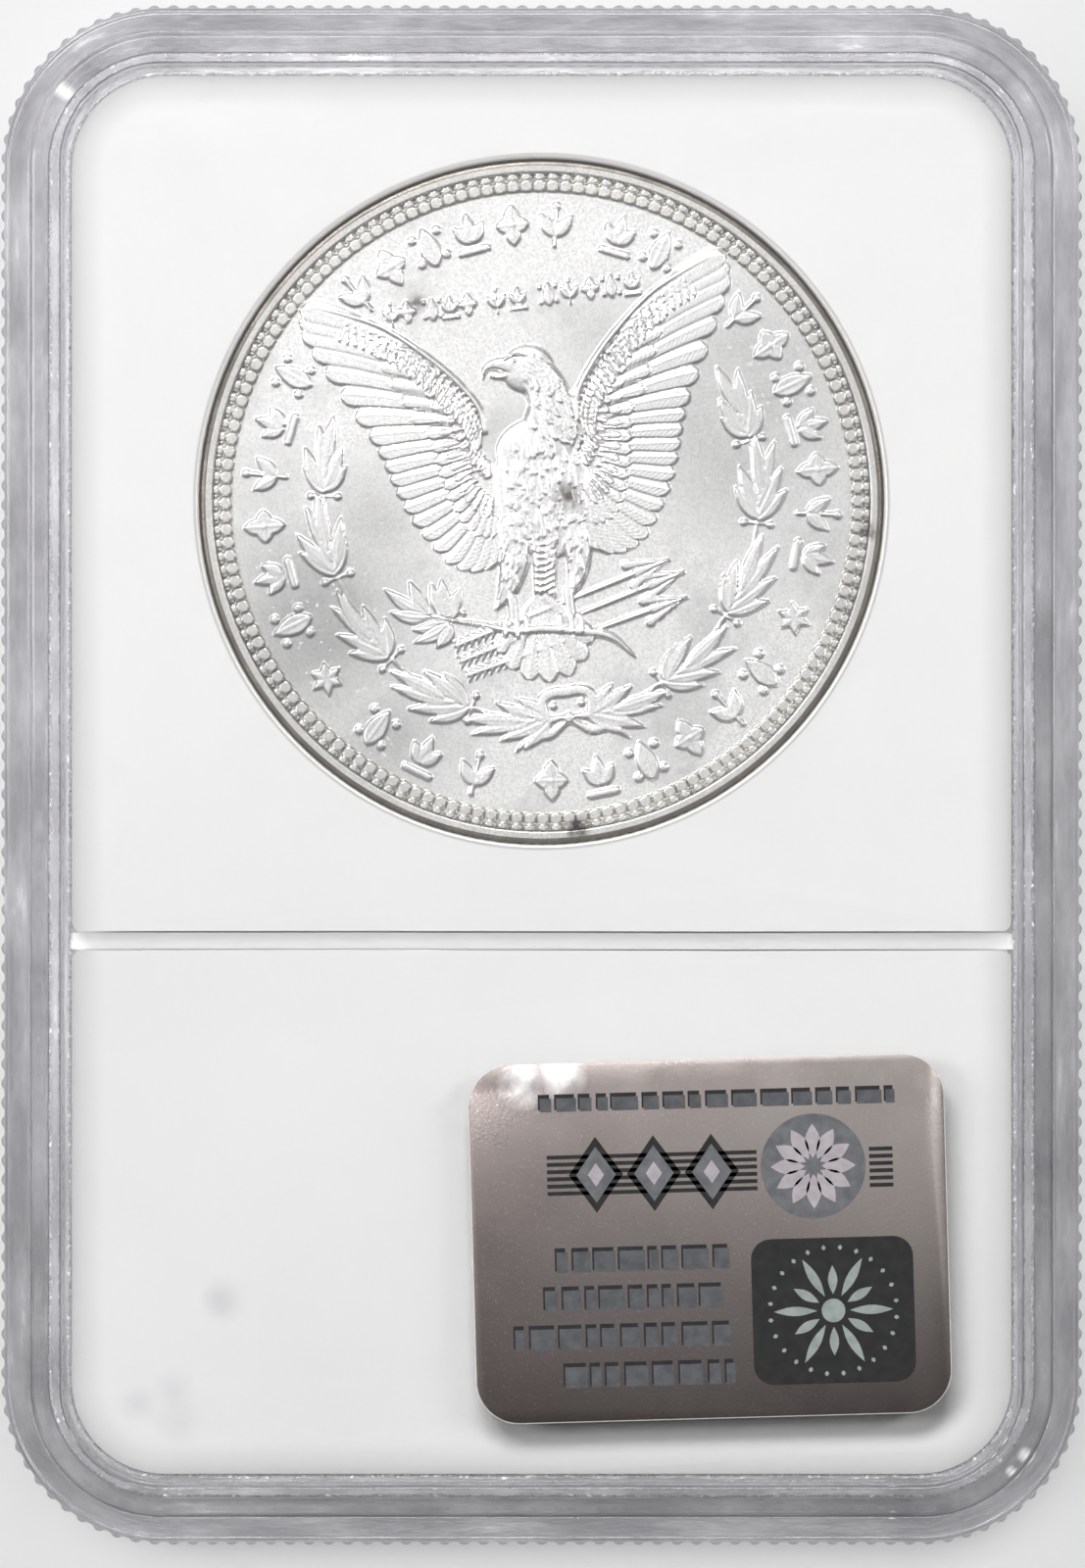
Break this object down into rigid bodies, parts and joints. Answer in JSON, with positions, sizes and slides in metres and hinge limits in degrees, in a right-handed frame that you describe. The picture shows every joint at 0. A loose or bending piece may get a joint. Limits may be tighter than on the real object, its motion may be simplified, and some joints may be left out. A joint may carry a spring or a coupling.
{
  "type": "graded coin slab",
  "caption": "Sealed clear two-part display slab that holds a large silver coin in a white core, with a label at one end.",
  "frame": {"origin": "bottom centre of the slab, on the surface that its front foot rests on", "axes": "the slab lies on its front face; +Y points to the coin end, +X to the right as seen from the back, and +Z out of the back face"},
  "size_m": [0.0598, 0.0852, 0.008],
  "materials": {
    "clear_polystyrene": "gloss",
    "white_core": "satin",
    "label_paper": "matte",
    "silver": "frosted",
    "foil": "satin"
  },
  "bodies": {
    "root": {"front_shell": "clear_polystyrene", "back_shell": "clear_polystyrene", "coin_core": "white_core", "label_carrier": "white_core", "grading_label": "label_paper", "coin": "silver", "seal": "foil"}
  },
  "joints": []
}
